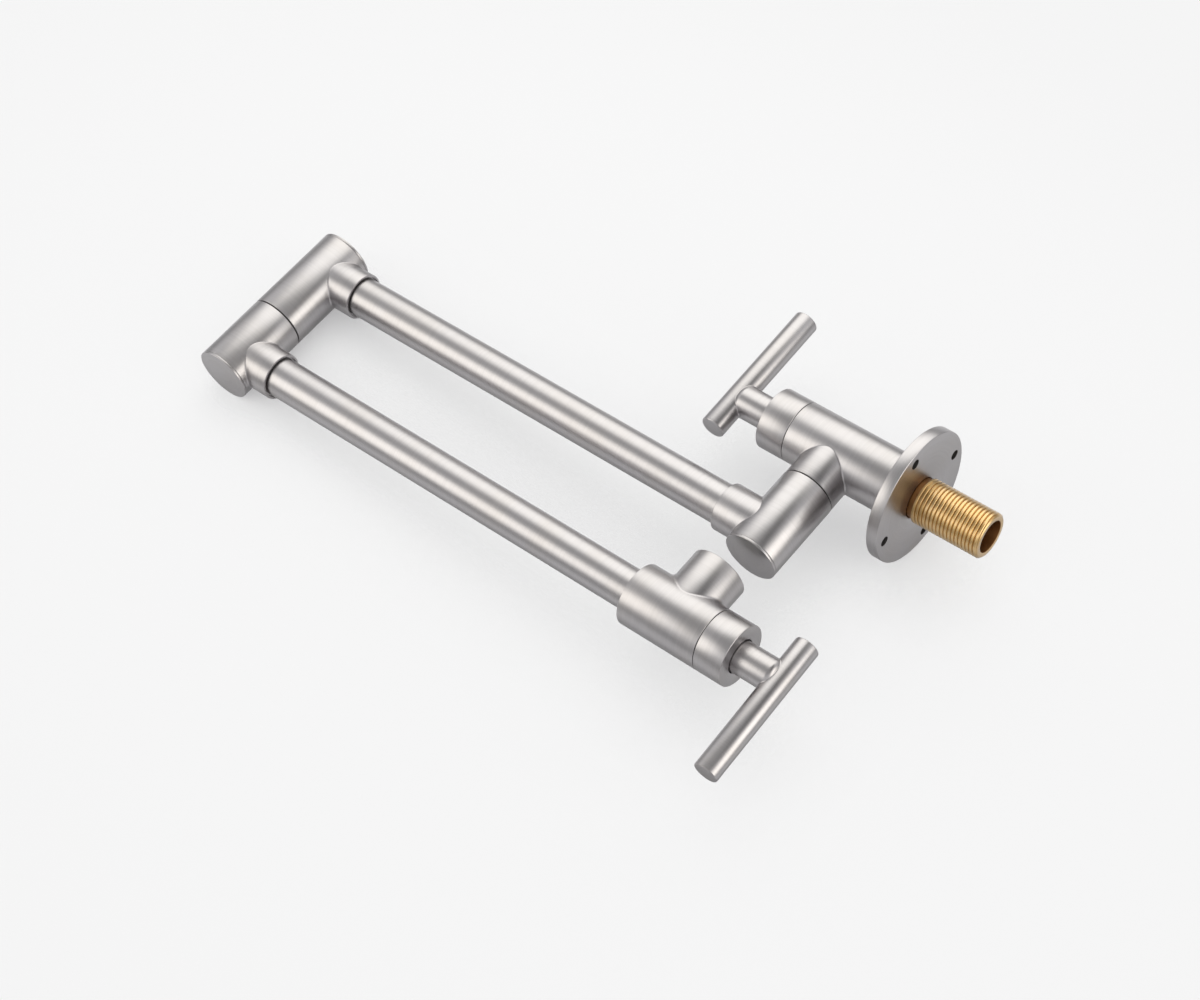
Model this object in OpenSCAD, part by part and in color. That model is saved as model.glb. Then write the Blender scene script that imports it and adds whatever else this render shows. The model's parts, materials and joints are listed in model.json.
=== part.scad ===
// Wall mounted pot filler with two folding arms and two quarter turn valves.
// Millimetres. +Y points into the wall, +Z up. The origin is where the inlet's axis
// meets the wall plane. At rest the first arm points straight out of the room side
// and the second arm is folded back above it.

/* [Wall flange] */
// Diameter of the wall flange
flange_d = 62; // [58:0.5:80]
// Thickness of the wall flange
flange_t = 5.5; // [4.5:0.5:9]
// Diameter of the circle through the screw holes
screw_circle_d = 51; // [44:0.5:52]
// Diameter of a screw hole
screw_hole_d = 4.6; // [3.4:0.1:5.6]
// Number of screw holes
screw_count = 4; // [3:1:6]
// Turn of the screw holes about the inlet axis
screw_turn = 3.5; // [0:0.5:45]

/* [Inlet nipple] */
// Outside diameter of the half inch pipe thread
thread_d = 20.955; // [20:0.005:22]
// Thread pitch, 14 threads to the inch
thread_pitch = 1.814; // [1.5:0.002:2]
// Depth of the thread
thread_depth = 1.162; // [0.8:0.002:1.3]
// Reach of the nipple behind the wall plane
nipple_reach = 35.5; // [28:0.5:60]
// Diameter of the plain neck between flange and thread
neck_d = 18.8; // [18:0.1:20]
// Length of the plain neck behind the wall plane
neck_l = 2.6; // [2:0.1:8]
// Bore of the nipple
nipple_bore_d = 15; // [12:0.5:15.5]
// Depth of the nipple in front of the wall plane
nipple_depth = 17; // [12:0.5:19]

/* [Valve bodies] */
// Outside diameter of both valve bodies and their bonnets
body_d = 28.5; // [27:0.5:36]
// Wall swivel's axis to the bonnet seam of the inlet valve
inlet_front_l = 21; // [18:0.5:24]
// Wall of a valve body around its cartridge
body_wall = 4.05; // [3.6:0.05:4.6]
// Bonnet seam to the seat of the cartridge
cartridge_l = 28.5; // [27:0.5:32]
// Outlet axis to the bonnet seam of the spout valve
spout_front_l = 18.5; // [17:0.5:22]
// Length of a bonnet
bonnet_l = 14; // [13:0.5:18]
// Radial gap between a bonnet and the handle stem
stem_gap = 0.6; // [0.3:0.05:1]

/* [Swivels] */
// Wall plane to the axis of the wall swivel
swivel_out = 41; // [38:0.5:60]
// Inlet axis up to the seam of the wall swivel
tee_h = 23.5; // [22:0.5:32]
// Outside diameter of the wall swivel
swivel_d = 25.5; // [25:0.5:28]
// Outside diameter of the elbow
elbow_d = 27; // [25:0.5:30]
// Wall swivel's seam up to the axis of the first arm
first_arm_h = 25.5; // [24:0.5:40]
// Axis of the first arm up to the seam of the elbow
elbow_seam_h = 33.5; // [32:0.5:48]
// Elbow's seam up to the axis of the second arm
second_arm_h = 22.5; // [22:0.5:36]
// Arm axis to the closed end of the wall swivel
swivel_end_l = 15; // [14:0.25:22]
// Arm axis to the closed end of an elbow half
elbow_end_l = 14.25; // [14:0.25:22]
// Diameter of the pivot posts
post_d = 17.9; // [17:0.1:18.5]

/* [Arms] */
// Length of the first arm between its two swivel axes
arm_l = 260; // [180:1:320]
// Elbow axis to the outlet axis
outlet_reach = 254; // [170:1:320]
// Outside diameter of the arm tubes
tube_d = 18.6; // [16:0.1:19]
// Wall of the arm tubes
tube_wall = 1.3; // [1:0.1:2]
// Depth of the second arm's tube in the spout valve body
tube_in = 8.8; // [7:0.1:20]
// Swivel axis to the mouth of an arm socket
socket_l = 24; // [22:0.5:40]
// Wall of an arm socket
socket_wall = 1.8; // [1.4:0.1:2.4]

/* [Outlet] */
// Outside diameter of the outlet branch
outlet_d = 26; // [25:0.5:28]
// Arm axis down to the outlet's mouth
outlet_l = 28; // [26:0.5:45]
// Diameter of the aerator
aerator_d = 22; // [20:0.1:22.4]
// Wall between two cells of the aerator's honeycomb screen
cell_wall = 0.4; // [0.3:0.05:0.7]

/* [Handles] */
// Diameter of the handle stem
stem_d = 15; // [13:0.5:17]
// Diameter of the lever bar
bar_d = 11.4; // [9:0.1:13]
// Bonnet seam to the axis of the lever bar
bar_out = 34; // [31:0.5:48]
// Stem axis to the long end of the lever bar
bar_long_l = 50; // [36:0.5:70]
// Stem axis to the short end of the lever bar
bar_short_l = 19; // [14:0.5:30]
// Turn of the inlet lever from upright, as it stands at rest
inlet_lever_turn = 1.8; // [0:0.2:8]
// Turn of the spout lever from upright, as it stands at rest
spout_lever_turn = 3.8; // [0:0.2:8]

/* [Hidden] */
$fn = 128;
// Cuts run past the faces that they open by this much
overrun = 1;
// Flat running faces of parts that turn against each other
face_gap = 0.05;
// Radial clearance of a shaft that turns in its bore
run_gap = 0.05;
// Radial clearance of a round piece that is screwed or pressed in
fit_gap = 0.02;
// Broken edge on the visible metal
edge = 0.4;

// Thread: flat crests and a plain ring where the thread starts
thread_r = thread_d / 2;
root_r = thread_r - thread_depth;
crest_w = 0.3;
start_ring_w = 0.6;
tip_chamfer = 0.9;
thread_end = nipple_reach - tip_chamfer - crest_w;
thread_turns = floor((thread_end - neck_l - start_ring_w) / thread_pitch);
thread_start = thread_end - thread_turns * thread_pitch;
neck_r = neck_d / 2;
neck_gap = 0.2;
ring_seal_t = 1.2;

// Inlet end of the inlet valve body, which the flange seats on
body_r = body_d / 2;
spigot_r = 12;
spigot_l = 3.5;

// Cartridge chamber. Heights along a valve count outwards from the bonnet seam.
chamber_r = body_r - body_wall;
collar_l = 7;
bonnet_wall = 1.75;
bonnet_bore_r = body_r - bonnet_wall;
collar_gap = 0.1;
collar_r = bonnet_bore_r - collar_gap;
seam_gap = 0.2;
inlet_body_l = swivel_out + inlet_front_l;
tube_r = tube_d / 2;
web_t = 1.5;
port_r = 6;
spout_body_l = cartridge_l + web_t + ring_seal_t + tube_in;
spout_back_l = spout_body_l - spout_front_l;

// Cartridge
cartridge_gap = 0.1;
housing_r = chamber_r - cartridge_gap;
housing_wall = 1.9;
disc_room_r = housing_r - housing_wall;
waist_depth = 0.8;
flange_ring_t = 2.2;
flange_ring_r = collar_r - cartridge_gap;
seat_seal_t = 2;
seat_seal_lift = 0.6;
disc_t = 3.2;
foot_t = 3;
foot_w = 4.4;
foot_in = 1;
foot_shoulder_l = 5;
foot_shoulder_w = 1.2;
shaft_r = 4.95;
foot_shoulder_r = shaft_r + foot_shoulder_w;
disc_r = disc_room_r - cartridge_gap;
disc_hub_r = 2;
disc_port_r = 6.2;
disc_port_angle = 80;
window_w = 10;
window_l = 8.5;
disc_low = -cartridge_l + seat_seal_t;
disc_mid = disc_low + disc_t + face_gap;
foot_low = disc_mid + disc_t;
ceiling = foot_low + foot_t + foot_shoulder_l + face_gap;
housing_top = collar_l + flange_ring_t;
shaft_ring_wire = 0.65;
shaft_ring_groove = 2 * shaft_ring_wire + 4 * fit_gap - run_gap;
shaft_ring_z = 2;
housing_ring_wire = 0.62;
housing_ring_groove = 2 * housing_ring_wire + 2 * fit_gap - cartridge_gap;
housing_ring_z = -5;
groove_side = 0.25;

// Spline between spindle and handle
spline_teeth = 20;
spline_r = 4;
spline_tooth = 0.35;
spline_l = 14;
stem_lift = 0.7;
stem_base = housing_top + stem_lift;
spline_top = stem_base + spline_l;

// Handle
stem_r = stem_d / 2;
bar_r = bar_d / 2;
stem_round = 5.5;
stem_short = 1.6;
stem_top = bar_out - stem_short;
bar_edge = 0.5;
screw_r = 2;
screw_z = stem_base + spline_l / 2;
screw_recess = 0.5;
screw_key_af = 2;
screw_key_depth = 1.6;

// Swivel joint. Heights count upwards from its seam.
washer_t = 0.6;
washer_step = 0.75;
barrel_low = washer_t + face_gap;
post_r = post_d / 2;
post_bore_r = 6;
post_thread_r = 7.6;
post_thread_l = 9;
journal_l = 12;
retainer_t = 1;
retainer_lip = 0.95;
retainer_mouth = 50;
retainer_low = barrel_low + journal_l + face_gap;
post_tip_l = 1.1;
post_top = retainer_low + retainer_t + post_tip_l;
room_gap = 0.4;
room_r = post_r + retainer_lip + room_gap;
post_groove = 1;
ring_wire = 0.78;
ring_groove = 2 * ring_wire + 4 * fit_gap - run_gap;
ring_spots = [barrel_low + journal_l * 0.25, barrel_low + journal_l * 0.7];
cap_t = 1.2;
plug_l = 3;
swivel_r = swivel_d / 2;
elbow_r = elbow_d / 2;
tee_step = 0.15;

// Arm sockets. Distances count outwards from the swivel axis.
socket_r = tube_r + fit_gap + socket_wall;
tube_stop = 11.6;
tube_end = tube_stop + ring_seal_t;
passage_r = 7.5;
mouth_gap = 0.9;
mouth_l = 1.5;

// Outlet
outlet_r = outlet_d / 2;
aerator_r = aerator_d / 2;
aerator_in = 0.8;
aerator_l = 7.3;
aerator_washer_t = 1.4;
aerator_washer_lip = 3;
aerator_wall = 1.5;
aerator_ledge = 0.7;
screen_t = 1.4;
screen_rings = 3;
screen_rim = 1.1;
screen_r = aerator_r - aerator_wall - fit_gap;
cell_pitch = (screen_r - screen_rim) / (screen_rings + 1 / 2);
cell_af = cell_pitch - cell_wall;
diffuser_wall = 0.8;
diffuser_plate = 1.2;
diffuser_holes = 12;
diffuser_hole_r = 0.6;
diffuser_hole_share = 0.6;
outlet_bore_r = 8;
aerator_low = outlet_l - aerator_in;
aerator_top = aerator_low - aerator_l;

// Places of the assemblies
first_arm_z = tee_h + first_arm_h;
elbow_seam_z = first_arm_z + elbow_seam_h;
second_arm_z = elbow_seam_z + second_arm_h;
elbow_y = -swivel_out - arm_l;
outlet_y = elbow_y + outlet_reach;
spout_seam_y = outlet_y + spout_front_l;
spout_rear_y = outlet_y - spout_back_l;

nickel = [0.70, 0.68, 0.66];
brass = [0.80, 0.62, 0.30];
inner_brass = [0.72, 0.58, 0.34];
ceramic = [0.93, 0.92, 0.88];
rubber = [0.10, 0.10, 0.11];
plastic = [0.16, 0.16, 0.17];
steel = [0.60, 0.61, 0.62];
screen_grey = [0.85, 0.85, 0.83];

// Outline of a ring from radius r0 to r1 and height z0 to z1, with its outer edges
// broken by c0 below and c1 above
function ring_outline(r0, r1, z0, z1, c0, c1) = concat(
    [[r0, z0]],
    c0 > 0 ? [[r1 - c0, z0], [r1, z0 + c0]] : [[r1, z0]],
    c1 > 0 ? [[r1, z1 - c1], [r1 - c1, z1]] : [[r1, z1]],
    [[r0, z1]]
);

// Points on a quarter round of radius r about centre c, from angle a0 to a1
function round_points(c, r, a0, a1, steps = 8) =
    [for (i = [0:steps]) let (a = a0 + (a1 - a0) * i / steps)
        [c[0] + r * cos(a), c[1] + r * sin(a)]];

module turned(r0, r1, z0, z1, c0 = 0, c1 = 0) {
    rotate_extrude() polygon(ring_outline(r0, r1, z0, z1, c0, c1));
}

module hole(r, z0, z1) {
    translate([0, 0, z0])
        cylinder(r = r, h = z1 - z0);
}

module wire_ring(r, wire, z) {
    translate([0, 0, z])
        rotate_extrude() translate([r, 0]) circle(r = wire, $fn = 48);
}

// Children drawn along +Z are laid along +Y, into the wall
module towards_wall() {
    rotate([-90, 0, 0]) children();
}

// Children drawn along +Z are laid along -Y, out into the room
module towards_room() {
    rotate([90, 0, 0]) children();
}

module at_inlet_valve() {
    translate([0, -inlet_body_l, 0])
        towards_room() children();
}

module at_spout_valve() {
    translate([0, spout_seam_y, second_arm_z])
        towards_wall() children();
}

module at_wall_swivel() {
    translate([0, -swivel_out, tee_h]) children();
}

module at_elbow() {
    translate([0, elbow_y, elbow_seam_z]) children();
}

// Room for the cartridge in a valve body: seat, chamber and collar, open outwards
module cartridge_room() {
    hole(chamber_r, -cartridge_l, collar_l + overrun);
    hole(port_r, -cartridge_l - web_t - overrun, -cartridge_l + overrun);
}

module valve_collar() {
    turned(0, collar_r, -overrun, collar_l, 0, edge);
}

module cartridge_housing() {
    waist_low = disc_low + disc_t * 0.6;
    waist_high = ceiling + housing_wall / 2;
    difference() {
        union() {
            turned(0, housing_r, -cartridge_l + seat_seal_lift, waist_low);
            turned(0, housing_r - waist_depth, waist_low - edge, waist_high + edge);
            turned(0, housing_r, waist_high, collar_l);
            turned(0, flange_ring_r, collar_l, housing_top);
        }
        hole(disc_room_r, -cartridge_l, ceiling);
        hole(shaft_r + run_gap, ceiling - overrun, housing_top + overrun);
        for (side = [-1, 1])
            translate([-window_w / 2, side > 0 ? 0 : -housing_r - overrun, ceiling - window_l])
                cube([window_w, housing_r + overrun, window_l]);
        difference() {
            hole(housing_r + overrun, housing_ring_z - housing_ring_wire - groove_side,
                housing_ring_z + housing_ring_wire + groove_side);
            hole(housing_r - housing_ring_groove, housing_ring_z - 2 * overrun,
                housing_ring_z + 2 * overrun);
        }
    }
}

// Ceramic disc with two ports that face each other, turned by an angle
module ceramic_disc(z0, turn, groove) {
    difference() {
        turned(0, disc_r, z0, z0 + disc_t);
        translate([-disc_r - overrun, -foot_w / 2 - fit_gap, z0 + disc_t - groove])
            cube([2 * (disc_r + overrun), foot_w + 2 * fit_gap, groove + overrun]);
        for (side = [0, 180])
            rotate([0, 0, turn + side - disc_port_angle / 2])
                translate([0, 0, z0 - overrun])
                    rotate_extrude(angle = disc_port_angle)
                        translate([disc_hub_r, 0])
                            square([disc_port_r - disc_hub_r, disc_t + 2 * overrun]);
    }
}

// The spindle's foot lies in the moving disc's groove, between its ports. Its spline is
// turned as far as the handle that is set on it.
module spindle(spline_turn) {
    difference() {
        union() {
            intersection() {
                turned(0, disc_r, foot_low - foot_in, foot_low + foot_t);
                translate([-disc_r, -foot_w / 2, foot_low - foot_in + fit_gap])
                    cube([2 * disc_r, foot_w, foot_in + foot_t]);
            }
            turned(0, foot_shoulder_r, foot_low + foot_t, ceiling - face_gap);
            turned(0, shaft_r, ceiling - face_gap, stem_base);
            rotate([0, 0, spline_turn]) spline(stem_base - overrun, spline_top, 0);
        }
        difference() {
            hole(shaft_r + overrun, shaft_ring_z - shaft_ring_wire - groove_side,
                shaft_ring_z + shaft_ring_wire + groove_side);
            hole(shaft_r - shaft_ring_groove, shaft_ring_z - 2 * overrun,
                shaft_ring_z + 2 * overrun);
        }
    }
}

module spline(z0, z1, gap) {
    tip_r = spline_r + gap;
    points = [for (i = [0:2 * spline_teeth - 1])
        let (a = 180 * i / spline_teeth, r = tip_r - (i % 2) * spline_tooth)
            [r * cos(a), r * sin(a)]];
    translate([0, 0, z0])
        linear_extrude(height = z1 - z0) polygon(points);
}

module seat_seal() {
    turned(port_r + fit_gap, disc_room_r - fit_gap, -cartridge_l, disc_low - fit_gap);
}

module bonnet() {
    difference() {
        turned(0, body_r, seam_gap, bonnet_l, edge / 2, edge);
        hole(bonnet_bore_r, -overrun, housing_top);
        hole(stem_r + stem_gap, housing_top - overrun, bonnet_l + overrun);
    }
}

// Stem and lever bar in one piece. The bar's long end points along -Y before the turn.
module lever_handle() {
    stem_outline = concat(
        [[0, stem_base], [stem_r - edge, stem_base], [stem_r, stem_base + edge]],
        round_points([stem_r - stem_round, stem_top - stem_round], stem_round, 0, 90),
        [[0, stem_top]]
    );
    difference() {
        union() {
            rotate_extrude() polygon(stem_outline);
            translate([0, bar_short_l, bar_out])
                towards_room()
                    turned(0, bar_r, 0, bar_long_l + bar_short_l, bar_edge, bar_edge);
        }
        spline(stem_base - overrun, spline_top + overrun / 2, fit_gap);
        translate([0, 0, screw_z])
            rotate([0, 90, 0])
                hole(screw_r + fit_gap, 0, stem_r + overrun);
    }
}

module handle_screw() {
    translate([0, 0, screw_z])
        rotate([0, 90, 0])
            difference() {
                turned(0, screw_r, spline_r + fit_gap, stem_r - screw_recess, edge, 0);
                translate([0, 0, stem_r - screw_recess - screw_key_depth])
                    cylinder(d = screw_key_af / cos(30), h = screw_key_depth + overrun, $fn = 6);
            }
}

module pivot_post() {
    difference() {
        union() {
            turned(0, post_thread_r, -post_thread_l, overrun, edge, 0);
            turned(0, post_r, 0, post_top, 0, edge);
        }
        hole(post_bore_r, -post_thread_l - overrun, post_top + overrun);
        for (z = ring_spots)
            difference() {
                hole(post_r + overrun, z - ring_wire - groove_side, z + ring_wire + groove_side);
                hole(post_r - ring_groove, z - 2 * overrun, z + 2 * overrun);
            }
        difference() {
            hole(post_r + overrun, retainer_low - face_gap, retainer_low + retainer_t + face_gap);
            hole(post_r - post_groove, retainer_low - overrun, retainer_low + 2 * overrun);
        }
    }
}

module post_o_rings() {
    for (z = ring_spots)
        wire_ring(post_r - ring_groove + fit_gap + ring_wire, ring_wire, z);
}

module thrust_washer(outer_r) {
    turned(post_r + run_gap, outer_r - washer_step, 0, washer_t);
}

// Snap ring, open at one side
module retainer() {
    rotate([0, 0, retainer_mouth / 2])
        rotate_extrude(angle = 360 - retainer_mouth)
            translate([post_r - post_groove + fit_gap, retainer_low])
                square([post_groove + retainer_lip - fit_gap, retainer_t]);
}

// A socket drawn out from the axis along +Z, for the arm tube
module socket_blank() {
    turned(0, socket_r, 0, socket_l, 0, edge);
}

module socket_bore() {
    hole(passage_r, 0, tube_stop + overrun);
    hole(tube_r + fit_gap, tube_stop, socket_l + overrun);
    hole(tube_r + mouth_gap, socket_l - mouth_l, socket_l + overrun);
}

// Upper part of a swivel, from its seam to its closed end, turning on the post
module barrel(barrel_r, arm_h, end_l) {
    top = arm_h + end_l - cap_t;
    difference() {
        union() {
            turned(0, barrel_r, barrel_low, top, edge / 2, 0);
            translate([0, 0, arm_h]) children(0);
        }
        hole(post_r + run_gap, -overrun, top);
        hole(room_r, barrel_low + journal_l, top + overrun);
        translate([0, 0, arm_h]) children(1);
    }
}

// Closed end of a barrel whose flat end is at height z, with its plug below
module end_cap(barrel_r, z) {
    turned(0, barrel_r, z - cap_t, z, 0, edge);
    hole(room_r - fit_gap, z - cap_t - plug_l, z - cap_t / 2);
}

module arm_tube(y0, y1, z) {
    translate([0, y0, z])
        towards_wall()
            turned(tube_r - tube_wall, tube_r, 0, y1 - y0);
}

module arm_seal(y, z) {
    translate([0, y, z])
        towards_wall()
            turned(passage_r, tube_r - fit_gap, 0, ring_seal_t);
}

module wall_flange() color(nickel)
    difference() {
        towards_wall() {
            turned(0, flange_d / 2, -flange_t, 0, edge, edge / 2);
        }
        towards_wall() {
            hole(neck_r + neck_gap, -flange_t - overrun, overrun);
            hole(spigot_r + fit_gap, -flange_t - overrun, spigot_l - flange_t);
            for (i = [0:screw_count - 1])
                rotate([0, 0, screw_turn + 360 * i / screw_count])
                    translate([screw_circle_d / 2, 0, 0])
                        hole(screw_hole_d / 2, -flange_t - overrun, overrun);
        }
    }

// The outline runs up the neck and the start ring, along the thread, round the
// chamfered tip and back down the bore
module inlet_nipple() color(brass) {
    flank_w = (thread_pitch - 2 * crest_w) / 2;
    turns = [for (i = [0:thread_turns - 1])
        let (y = thread_start + i * thread_pitch)
            each [
                [root_r, y + crest_w + flank_w],
                [root_r, y + 2 * crest_w + flank_w],
                [thread_r, y + thread_pitch],
                [thread_r, y + thread_pitch + crest_w]
            ]];
    outline = concat(
        [
            [nipple_bore_d / 2, -nipple_depth],
            [neck_r - edge, -nipple_depth],
            [neck_r, -nipple_depth + edge],
            [neck_r, neck_l],
            [thread_r, neck_l],
            [thread_r, thread_start + crest_w]
        ],
        turns,
        [
            [thread_r - tip_chamfer, nipple_reach],
            [nipple_bore_d / 2 + edge, nipple_reach],
            [nipple_bore_d / 2, nipple_reach - edge]
        ]
    );
    towards_wall() rotate_extrude() polygon(outline);
}

module inlet_nipple_seal() color(rubber)
    towards_room()
        turned(nipple_bore_d / 2, neck_r - fit_gap, nipple_depth, nipple_depth + ring_seal_t);

module inlet_valve_body() color(nickel)
    difference() {
        union() {
            towards_room() {
                turned(0, body_r, flange_t, inlet_body_l, 0, edge / 2);
                turned(0, spigot_r, flange_t - spigot_l, flange_t + overrun);
            }
            at_inlet_valve() valve_collar();
            translate([0, -swivel_out, 0])
                turned(0, swivel_r - tee_step, 0, tee_h, 0, edge / 2);
        }
        at_inlet_valve() cartridge_room();
        towards_room() {
            hole(neck_r + fit_gap, 0, nipple_depth + ring_seal_t);
            hole(port_r, nipple_depth, inlet_body_l - cartridge_l);
        }
        at_wall_swivel()
            hole(post_thread_r + fit_gap, -tee_h, overrun);
    }

module inlet_cartridge_housing() color(inner_brass) at_inlet_valve() cartridge_housing();
module inlet_fixed_disc() color(ceramic) at_inlet_valve() ceramic_disc(disc_low, 0, 0);
module inlet_moving_disc() color(ceramic) at_inlet_valve() ceramic_disc(disc_mid, 90, foot_in);
module inlet_spindle() color(inner_brass) at_inlet_valve() spindle(-inlet_lever_turn);
module inlet_seat_seal() color(rubber) at_inlet_valve() seat_seal();

module cartridge_o_ring() {
    wire_ring(housing_r - housing_ring_groove + fit_gap + housing_ring_wire,
        housing_ring_wire, housing_ring_z);
}

module spindle_o_ring() {
    wire_ring(shaft_r - shaft_ring_groove + fit_gap + shaft_ring_wire,
        shaft_ring_wire, shaft_ring_z);
}

module inlet_cartridge_o_ring() color(rubber) at_inlet_valve() cartridge_o_ring();
module inlet_spindle_o_ring() color(rubber) at_inlet_valve() spindle_o_ring();
module inlet_bonnet() color(nickel) at_inlet_valve() bonnet();

module inlet_handle() color(nickel)
    at_inlet_valve() rotate([0, 0, -inlet_lever_turn]) lever_handle();

module inlet_handle_screw() color(steel)
    at_inlet_valve() rotate([0, 0, -inlet_lever_turn]) handle_screw();

module wall_swivel_post() color(inner_brass) at_wall_swivel() pivot_post();
module wall_swivel_o_rings() color(rubber) at_wall_swivel() post_o_rings();
module wall_swivel_washer() color(plastic) at_wall_swivel() thrust_washer(swivel_r);
module wall_swivel_retainer() color(steel) at_wall_swivel() retainer();

module wall_swivel_body() color(nickel)
    at_wall_swivel()
        barrel(swivel_r, first_arm_h, swivel_end_l) {
            towards_room() socket_blank();
            towards_room() socket_bore();
        }

module wall_swivel_cap() color(nickel)
    at_wall_swivel() end_cap(swivel_r, first_arm_h + swivel_end_l);

module first_arm_tube() color(nickel)
    arm_tube(elbow_y + tube_end, -swivel_out - tube_end, first_arm_z);

module first_arm_seals() color(rubber) {
    arm_seal(elbow_y + tube_stop, first_arm_z);
    arm_seal(-swivel_out - tube_end, first_arm_z);
}

module elbow_lower_body() color(nickel)
    difference() {
        union() {
            at_elbow()
                turned(0, elbow_r, -elbow_seam_h - elbow_end_l + cap_t, 0, 0, edge / 2);
            translate([0, elbow_y, first_arm_z])
                towards_wall() socket_blank();
        }
        at_elbow() {
            hole(room_r, -elbow_seam_h - elbow_end_l, -post_thread_l - retainer_t);
            hole(post_thread_r + fit_gap, -post_thread_l - 2 * retainer_t, overrun);
        }
        translate([0, elbow_y, first_arm_z])
            towards_wall() socket_bore();
    }

module elbow_lower_cap() color(nickel)
    at_elbow() mirror([0, 0, 1]) end_cap(elbow_r, elbow_seam_h + elbow_end_l);

module elbow_post() color(inner_brass) at_elbow() pivot_post();
module elbow_o_rings() color(rubber) at_elbow() post_o_rings();
module elbow_washer() color(plastic) at_elbow() thrust_washer(elbow_r);
module elbow_retainer() color(steel) at_elbow() retainer();

module elbow_upper_body() color(nickel)
    at_elbow()
        barrel(elbow_r, second_arm_h, elbow_end_l) {
            towards_wall() socket_blank();
            towards_wall() socket_bore();
        }

module elbow_upper_cap() color(nickel)
    at_elbow() end_cap(elbow_r, second_arm_h + elbow_end_l);

module second_arm_tube() color(nickel)
    arm_tube(elbow_y + tube_end, spout_rear_y + tube_in, second_arm_z);

module second_arm_seals() color(rubber) {
    arm_seal(elbow_y + tube_stop, second_arm_z);
    arm_seal(spout_rear_y + tube_in, second_arm_z);
}

// The outlet branch points along local +Y, which is down
module spout_valve_body() color(nickel)
    at_spout_valve()
        difference() {
            union() {
                turned(0, body_r, -spout_body_l, 0, edge, edge / 2);
                valve_collar();
                translate([0, 0, -spout_front_l])
                    towards_wall() turned(0, outlet_r, 0, outlet_l, 0, edge);
            }
            cartridge_room();
            hole(tube_r + fit_gap, -spout_body_l - overrun, -cartridge_l - web_t);
            translate([0, 0, -spout_front_l])
                towards_wall() {
                    hole(outlet_bore_r, 0, outlet_l);
                    hole(aerator_r + fit_gap, aerator_top - aerator_washer_t,
                        outlet_l + overrun);
                }
        }

module spout_cartridge_housing() color(inner_brass) at_spout_valve() cartridge_housing();
module spout_fixed_disc() color(ceramic) at_spout_valve() ceramic_disc(disc_low, 0, 0);
module spout_moving_disc() color(ceramic) at_spout_valve() ceramic_disc(disc_mid, 90, foot_in);
module spout_spindle() color(inner_brass) at_spout_valve() spindle(spout_lever_turn);
module spout_seat_seal() color(rubber) at_spout_valve() seat_seal();
module spout_cartridge_o_ring() color(rubber) at_spout_valve() cartridge_o_ring();
module spout_spindle_o_ring() color(rubber) at_spout_valve() spindle_o_ring();
module spout_bonnet() color(nickel) at_spout_valve() bonnet();

module spout_handle() color(nickel)
    at_spout_valve() rotate([0, 0, spout_lever_turn]) lever_handle();

module spout_handle_screw() color(steel)
    at_spout_valve() rotate([0, 0, spout_lever_turn]) handle_screw();

// The aerator's pieces are drawn downwards along +Z from the arm axis
module in_outlet() {
    translate([0, outlet_y, second_arm_z])
        rotate([180, 0, 0]) children();
}

module aerator_housing() color(plastic)
    in_outlet()
        difference() {
            turned(0, aerator_r, aerator_top, aerator_low, 0, edge);
            hole(aerator_r - aerator_wall, aerator_top - overrun, aerator_low - aerator_ledge);
            hole(aerator_r - aerator_wall - aerator_ledge, aerator_top, aerator_low + overrun);
        }

module aerator_screen() color(screen_grey)
    in_outlet() {
        low = aerator_low - aerator_ledge;
        difference() {
            turned(0, screen_r, low - screen_t, low);
            for (i = [-screen_rings:screen_rings], j = [-screen_rings:screen_rings])
                if (abs(i + j) <= screen_rings)
                    translate([(i + j / 2) * cell_pitch, j * cell_pitch * cos(30),
                        low - screen_t - overrun])
                        rotate([0, 0, 30])
                            cylinder(d = cell_af / cos(30), h = screen_t + 2 * overrun, $fn = 6);
        }
    }

module aerator_diffuser() color(screen_grey)
    in_outlet() {
        low = aerator_low - aerator_ledge - screen_t;
        difference() {
            turned(0, screen_r, aerator_top, low);
            hole(screen_r - diffuser_wall, aerator_top + diffuser_plate, low + overrun);
            for (i = [0:diffuser_holes - 1])
                rotate([0, 0, 360 * i / diffuser_holes])
                    translate([screen_r * diffuser_hole_share, 0, 0])
                        hole(diffuser_hole_r, aerator_top - overrun, low);
        }
    }

module aerator_washer() color(rubber)
    in_outlet()
        turned(aerator_r - aerator_washer_lip, aerator_r - fit_gap,
            aerator_top - aerator_washer_t, aerator_top);

wall_flange();
inlet_nipple();
inlet_nipple_seal();
inlet_valve_body();
inlet_cartridge_housing();
inlet_fixed_disc();
inlet_moving_disc();
inlet_spindle();
inlet_seat_seal();
inlet_cartridge_o_ring();
inlet_spindle_o_ring();
inlet_bonnet();
inlet_handle();
inlet_handle_screw();
wall_swivel_post();
wall_swivel_o_rings();
wall_swivel_washer();
wall_swivel_retainer();
wall_swivel_body();
wall_swivel_cap();
first_arm_tube();
first_arm_seals();
elbow_lower_body();
elbow_lower_cap();
elbow_post();
elbow_o_rings();
elbow_washer();
elbow_retainer();
elbow_upper_body();
elbow_upper_cap();
second_arm_tube();
second_arm_seals();
spout_valve_body();
spout_cartridge_housing();
spout_fixed_disc();
spout_moving_disc();
spout_spindle();
spout_seat_seal();
spout_cartridge_o_ring();
spout_spindle_o_ring();
spout_bonnet();
spout_handle();
spout_handle_screw();
aerator_housing();
aerator_screen();
aerator_diffuser();
aerator_washer();
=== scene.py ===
"""Wall mounted pot filler in brushed nickel, lying folded on a pale table.

Metres, in the frame of the part: +Y points into the wall and +Z up.
The sizes and places of the pieces are given in millimetres.
"""

import json
import math

import bpy
from mathutils import Matrix, Vector

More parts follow.
